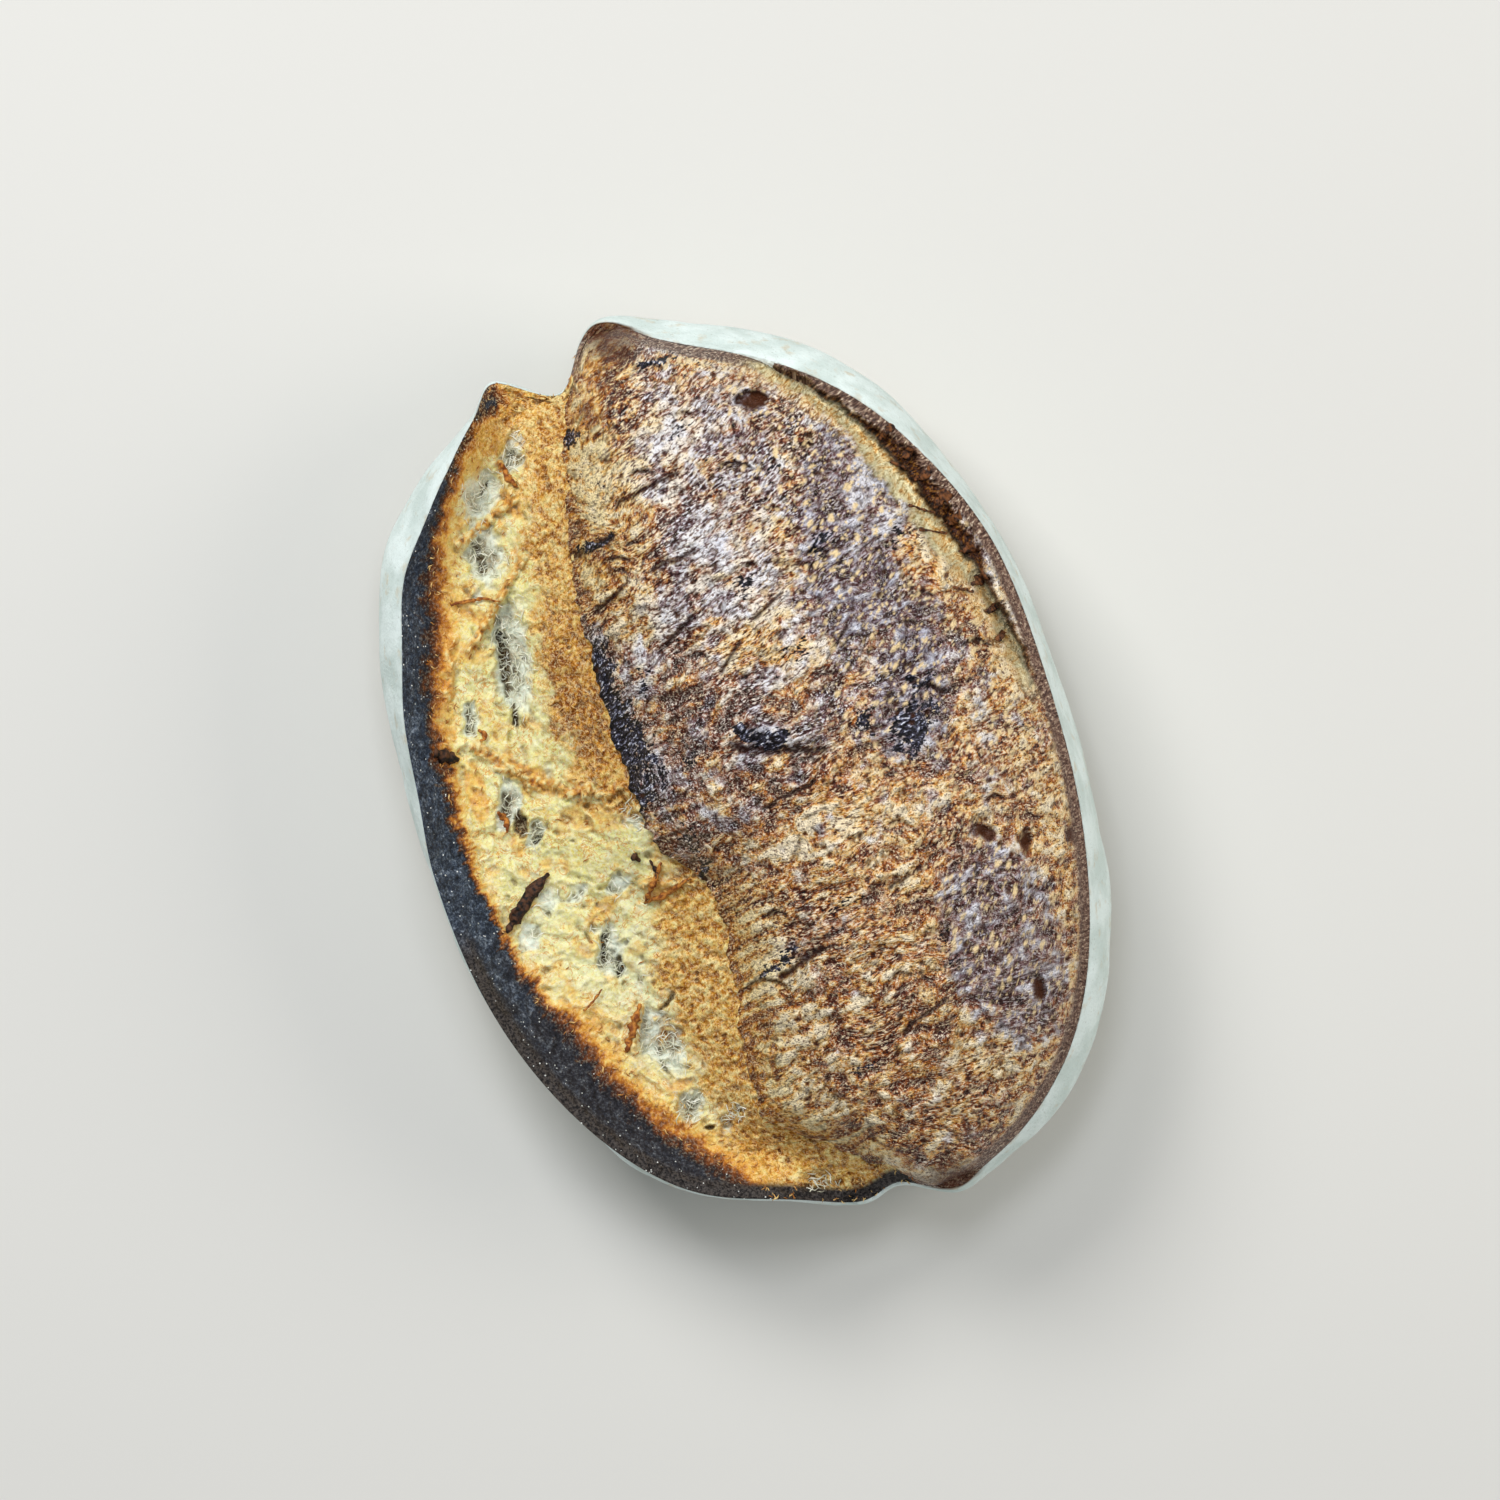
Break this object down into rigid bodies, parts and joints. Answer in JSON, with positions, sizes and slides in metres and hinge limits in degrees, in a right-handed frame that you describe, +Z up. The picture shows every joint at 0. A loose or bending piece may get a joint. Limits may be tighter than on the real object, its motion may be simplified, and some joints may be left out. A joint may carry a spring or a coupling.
{
  "type": "loaf of bread",
  "caption": "Oval hearth-baked sourdough loaf, slashed lengthwise: a domed brown crust beside a raised ear with a charred edge, and torn pale crumb between them.",
  "frame": {"origin": "centre of the loaf's box at the level of its flat base", "axes": "+Y along the loaf, towards the end where the slash runs out between two horns of skin; +Z up from the flat base; +X across the loaf, away from the ear and towards the thin crack"},
  "size_m": [0.1906, 0.2698, 0.1014],
  "materials": {
    "baked_crust": "matte"
  },
  "bodies": {
    "root": {"loaf": "baked_crust"}
  },
  "joints": []
}
